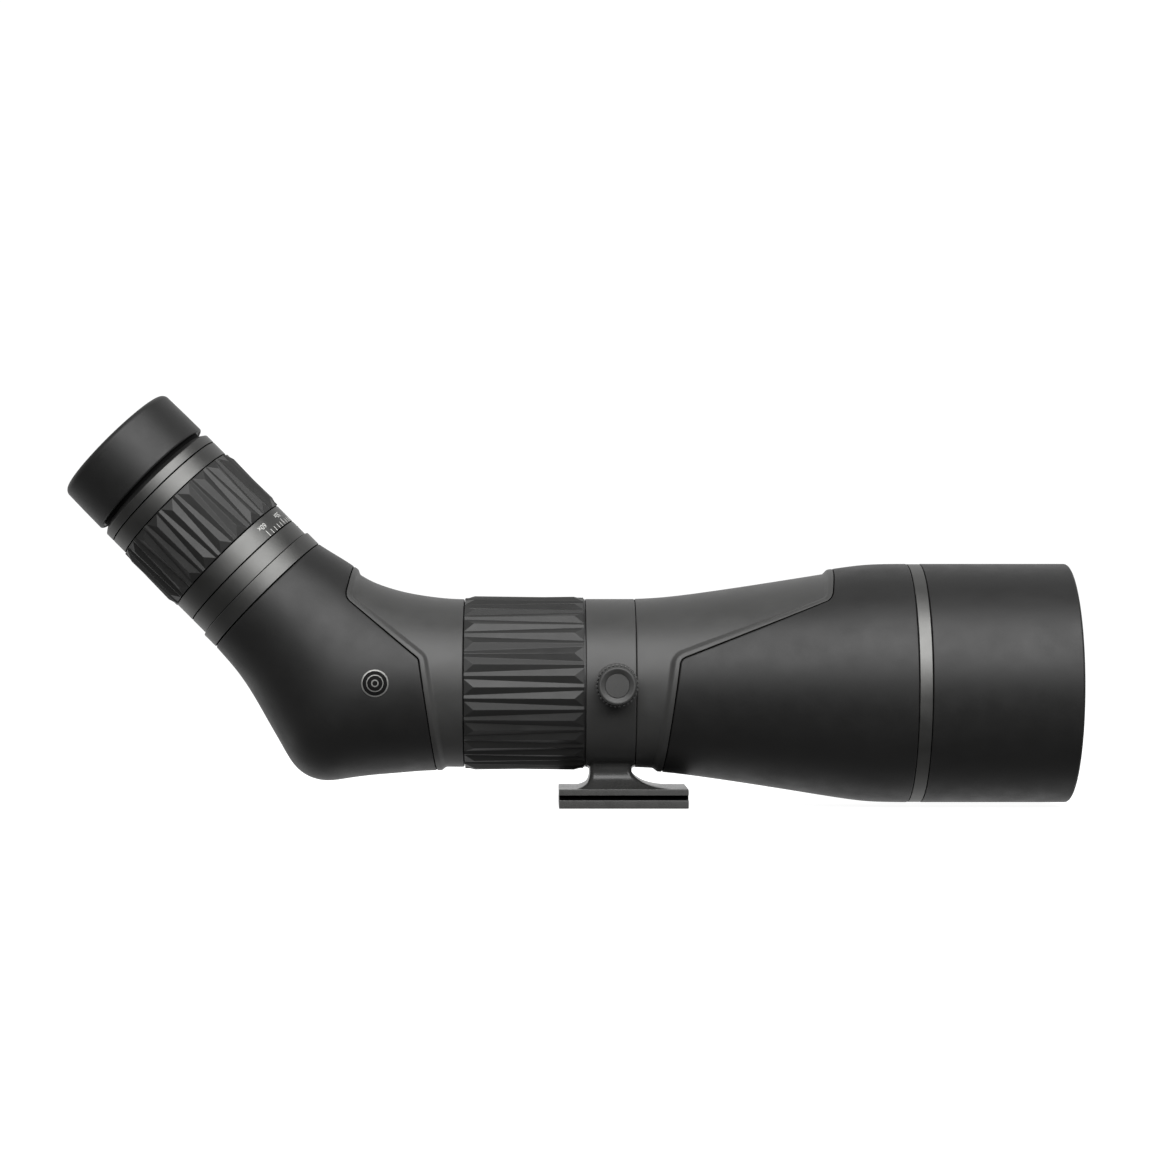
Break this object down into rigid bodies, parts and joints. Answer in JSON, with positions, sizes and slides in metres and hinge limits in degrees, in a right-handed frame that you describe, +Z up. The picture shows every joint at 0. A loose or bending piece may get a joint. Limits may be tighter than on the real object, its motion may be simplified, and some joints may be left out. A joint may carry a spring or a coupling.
{
  "type": "spotting scope",
  "caption": "Angled spotting scope with zoom eyepiece, ribbed focus ring, turning tripod collar with dovetail foot and pull-out sunshade.",
  "frame": {"origin": "centre of the tripod thread's mouth on the underside of the foot", "axes": "+X along the optical axis towards the objective, +Z up, lock knob on the -Y side"},
  "size_m": [0.4021, 0.096, 0.1651],
  "materials": {
    "casting_paint": "dark grey satin paint on cast metal, fine grain",
    "armour_rubber": "matt black rubber armour",
    "grip_rubber": "black ribbed rubber",
    "eyecup_rubber": "smooth black rubber",
    "ring_metal": "satin grey anodised",
    "trim_metal": "bright satin anodised",
    "foot_metal": "dark grey anodised",
    "inner_metal": "matt black anodised",
    "steel": "bright steel",
    "polymer": "slippery bearing polymer",
    "seal_rubber": "black nitrile",
    "badge_metal": "plain embossed medallion",
    "glass": "coated optical glass"
  },
  "bodies": {
    "tripod_collar": {"tripod_collar": "casting_paint", "thread_insert": "steel", "collar_liner": "polymer"},
    "lock_pad": {"lock_pad": "polymer"},
    "lock_knob": {"lock_knob": "casting_paint", "lock_knob_cap": "casting_paint", "lock_screw": "steel"},
    "scope_body": {"center_tube": "inner_metal", "objective_barrel": "casting_paint", "barrel_oring": "seal_rubber", "barrel_baffle": "inner_metal", "front_armor": "armour_rubber", "trim_ring": "trim_metal", "objective_cell": "inner_metal", "objective_flint": "glass", "objective_spacer": "inner_metal", "objective_crown": "glass", "objective_retainer": "inner_metal", "prism_housing": "casting_paint", "rear_armor": "armour_rubber", "side_badges": "badge_metal", "roof_prism": "glass", "prism_bracket": "inner_metal", "prism_clamp": "steel", "prism_screws": "steel", "eyepiece_flange": "ring_metal", "eyepiece_oring": "seal_rubber", "index_ring": "ring_metal", "eyepiece_barrel": "inner_metal", "field_lens_cell": "inner_metal", "field_lens": "glass", "eyepiece_head": "ring_metal", "eye_doublet": "glass", "eye_lens_spacer": "inner_metal", "eye_lens": "glass", "eye_lens_retainer": "inner_metal"},
    "sunshade": {"sunshade_tube": "inner_metal", "sunshade_grip": "armour_rubber", "sunshade_glide": "polymer"},
    "focus_ring": {"focus_ring": "ring_metal", "focus_grip": "grip_rubber"},
    "focus_carrier": {"focus_cell": "inner_metal", "focus_pins": "steel", "focus_lens": "glass", "focus_retainer": "inner_metal"},
    "zoom_ring": {"zoom_sleeve": "ring_metal", "zoom_grip": "grip_rubber", "zoom_cam": "inner_metal"},
    "variator": {"variator_cell": "inner_metal", "variator_lens": "glass", "variator_pins": "steel"},
    "compensator": {"compensator_cell": "inner_metal", "compensator_lens": "glass", "compensator_pins": "steel"},
    "eyecup_key": {"eyecup_key_ring": "polymer"},
    "eyecup": {"eyecup_sleeve": "polymer", "eyecup": "eyecup_rubber"}
  },
  "joints": [
    {"name": "collar_turn", "type": "hinge", "parent": "tripod_collar", "child": "scope_body", "pos_m": [-0.0053, 0, 0.0495], "axis": [1, 0, 0], "continuous": true},
    {"name": "lock_travel", "type": "slide", "parent": "tripod_collar", "child": "lock_pad", "axis": [0, -1, 0], "range_m": [0, 0.0006]},
    {"name": "lock_turn", "type": "hinge", "parent": "lock_pad", "child": "lock_knob", "pos_m": [-0.0032, -0.04, 0.0495], "axis": [0, -1, 0], "range_deg": [0, 270.1]},
    {"name": "sunshade_slide", "type": "slide", "parent": "scope_body", "child": "sunshade", "axis": [1, 0, 0], "range_m": [0, 0.038]},
    {"name": "focus_turn", "type": "hinge", "parent": "scope_body", "child": "focus_ring", "pos_m": [-0.0394, 0, 0.0495], "axis": [1, 0, 0], "range_deg": [-270, 270]},
    {"name": "focus_travel", "type": "slide", "parent": "scope_body", "child": "focus_carrier", "axis": [1, 0, 0], "range_m": [-0.012, 0.012]},
    {"name": "zoom_turn", "type": "hinge", "parent": "scope_body", "child": "zoom_ring", "pos_m": [-0.16867, 0, 0.11031], "axis": [-0.7071, 0, 0.7071], "range_deg": [-75, 48]},
    {"name": "variator_travel", "type": "slide", "parent": "scope_body", "child": "variator", "axis": [-0.7071, 0, 0.7071], "range_m": [-0.0048, 0.0033]},
    {"name": "compensator_travel", "type": "slide", "parent": "scope_body", "child": "compensator", "axis": [-0.7071, 0, 0.7071], "range_m": [-0.0022, 0.0032]},
    {"name": "eyecup_rise", "type": "slide", "parent": "scope_body", "child": "eyecup_key", "axis": [-0.7071, 0, 0.7071], "range_m": [0, 0.009]},
    {"name": "eyecup_turn", "type": "hinge", "parent": "eyecup_key", "child": "eyecup", "pos_m": [-0.19978, 0, 0.14142], "axis": [-0.7071, 0, 0.7071], "range_deg": [0, 150.1]}
  ],
  "couplings": [
    {"joint": "lock_turn", "follows": "lock_travel", "rad_per_m": 7854},
    {"joint": "focus_travel", "follows": "focus_turn", "m_per_rad": 0.0025465},
    {"joint": "variator_travel", "follows": "zoom_turn", "m_per_rad": 0.0036},
    {"joint": "compensator_travel", "follows": "zoom_turn", "m_per_rad": -0.0024},
    {"joint": "eyecup_turn", "follows": "eyecup_rise", "rad_per_m": 290.89}
  ]
}
